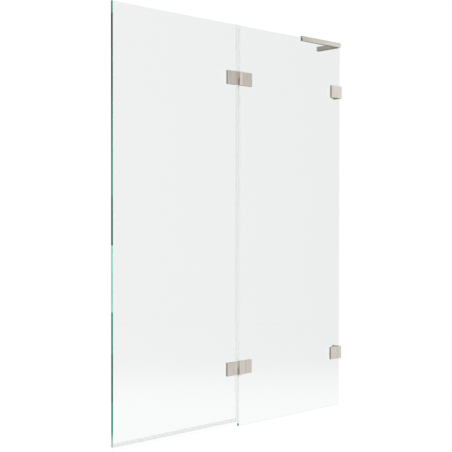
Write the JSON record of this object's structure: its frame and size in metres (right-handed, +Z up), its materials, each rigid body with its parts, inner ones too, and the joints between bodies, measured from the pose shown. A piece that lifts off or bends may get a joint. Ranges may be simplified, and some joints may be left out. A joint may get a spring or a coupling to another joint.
{
  "type": "bath screen",
  "caption": "Frameless bath screen: a clear glass panel clamped to the wall carries a hinged glass door with brushed nickel fittings, clear seals and an L-shaped stabiliser bar.",
  "frame": {"origin": "lower corner of the fixed glass panel at the wall, in the middle of the glass, on the bath rim", "axes": "+Z up, +X along the glass towards the wall, +Y from the room into the bath"},
  "size_m": [1.152, 0.1392, 1.5055],
  "materials": {
    "clear_glass": "clear float glass, polished, with green edges",
    "brushed_nickel": "brushed nickel, warm grey, satin",
    "clear_seal": "clear soft PVC",
    "grey_gasket": "matt dark grey",
    "clear_liner": "translucent nylon",
    "screw_steel": "turned stainless steel"
  },
  "bodies": {
    "fixed_side": {"fixed_glass_panel": "clear_glass", "stabiliser_bar": "brushed_nickel", "stabiliser_liner": "grey_gasket", "stabiliser_grub_screws": "screw_steel", "hinge_fixed_cone_screws": "screw_steel", "hinge_fixed_cone_liners": "clear_liner", "bracket_clamp_screws": "screw_steel", "bracket_glass_sleeves": "clear_liner", "upper_hinge_fixed_leaf": "brushed_nickel", "upper_hinge_fixed_gasket": "grey_gasket", "upper_hinge_pin": "screw_steel", "upper_bracket_front_plate": "brushed_nickel", "upper_bracket_wall_angle": "brushed_nickel", "upper_bracket_front_gasket": "grey_gasket", "upper_bracket_back_gasket": "grey_gasket", "lower_hinge_fixed_leaf": "brushed_nickel", "lower_hinge_fixed_gasket": "grey_gasket", "lower_hinge_pin": "screw_steel", "lower_bracket_front_plate": "brushed_nickel", "lower_bracket_wall_angle": "brushed_nickel", "lower_bracket_front_gasket": "grey_gasket", "lower_bracket_back_gasket": "grey_gasket"},
    "door": {"door_glass_panel": "clear_glass", "door_bottom_seal": "clear_seal", "door_edge_seal_bottom": "clear_seal", "door_edge_seal_middle": "clear_seal", "door_edge_seal_top": "clear_seal", "hinge_bushes": "clear_liner", "hinge_door_cone_screws": "screw_steel", "hinge_door_cone_liners": "clear_liner", "upper_hinge_door_leaf": "brushed_nickel", "upper_hinge_door_gasket": "grey_gasket", "lower_hinge_door_leaf": "brushed_nickel", "lower_hinge_door_gasket": "grey_gasket"}
  },
  "joints": [
    {"name": "door_swing", "type": "hinge", "parent": "fixed_side", "child": "door", "pos_m": [-0.5754, -0.0139, 0], "axis": [0, 0, 1], "range_deg": [0, 175]}
  ]
}
